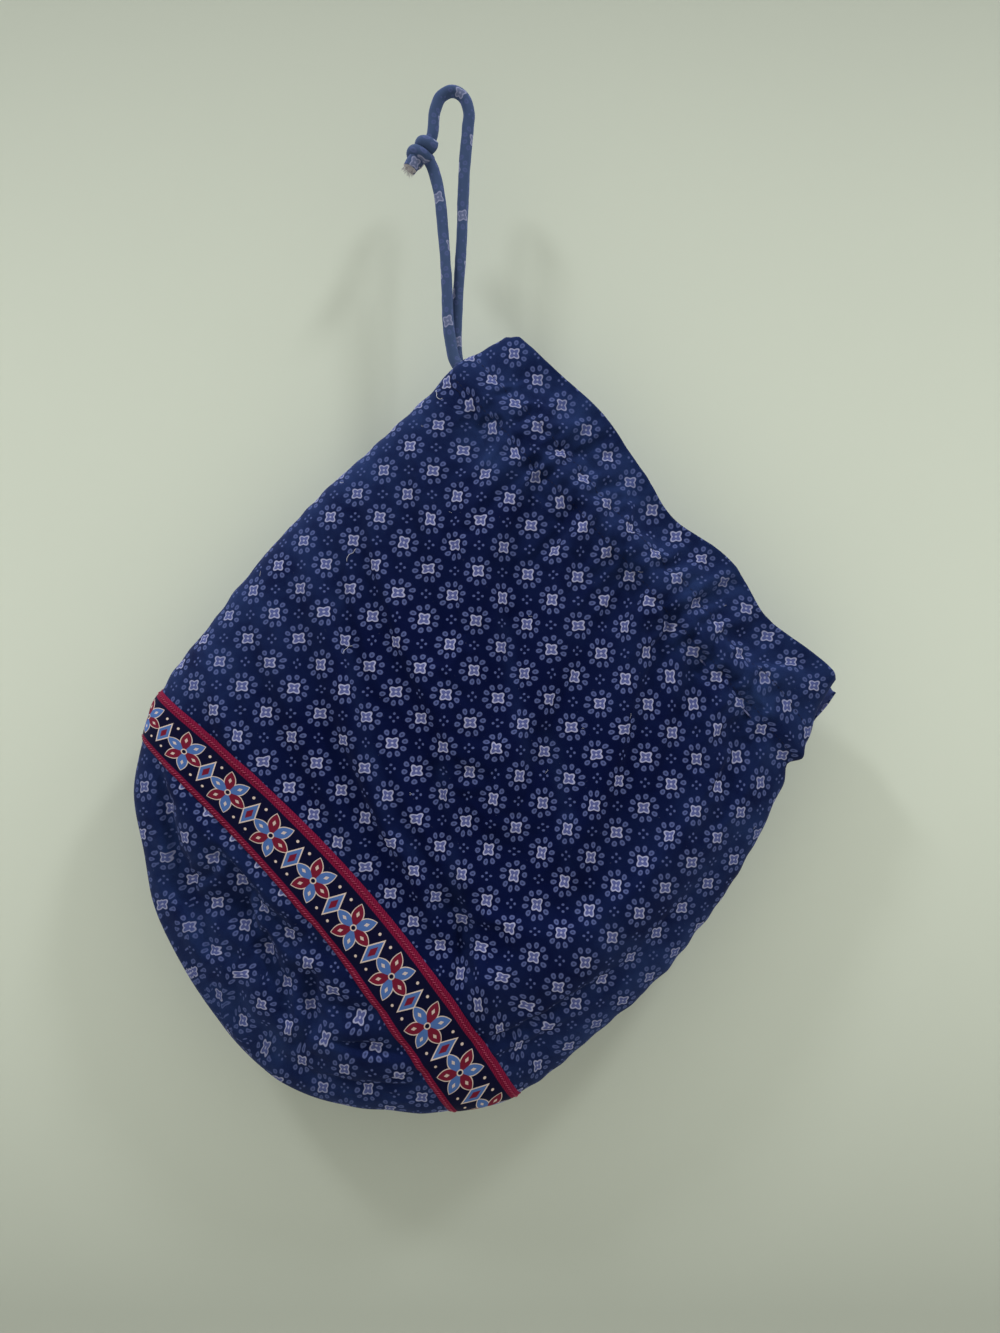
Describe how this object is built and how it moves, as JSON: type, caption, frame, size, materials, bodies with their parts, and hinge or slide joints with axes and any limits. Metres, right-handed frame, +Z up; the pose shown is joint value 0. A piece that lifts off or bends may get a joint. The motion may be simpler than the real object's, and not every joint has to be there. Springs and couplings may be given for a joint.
{
  "type": "drawstring bag",
  "caption": "Flat round-bottomed cotton pouch hanging by its drawstring, with a gathered casing, a frilled mouth, a printed border band and a tied cord loop.",
  "frame": {"origin": "underside of the drawstring's bend, where a peg or hook carries the bag", "axes": "+Z up, X to the right seen from the front, +Y away from the viewer through the bag's thickness"},
  "size_m": [0.4553, 0.0614, 0.6654],
  "materials": {
    "printed_cotton": "matt printed plain weave",
    "border_cotton": "matt printed plain weave with topstitched edges",
    "cord_cotton": "matt fabric tube"
  },
  "bodies": {
    "root": {"front_panel": "printed_cotton", "back_panel": "printed_cotton", "border_band_front": "border_cotton", "border_band_back": "border_cotton", "casing_front": "printed_cotton", "casing_back": "printed_cotton", "drawstring_casing": "cord_cotton", "drawstring_long": "cord_cotton", "drawstring_short": "cord_cotton", "knot": "cord_cotton"}
  },
  "joints": []
}
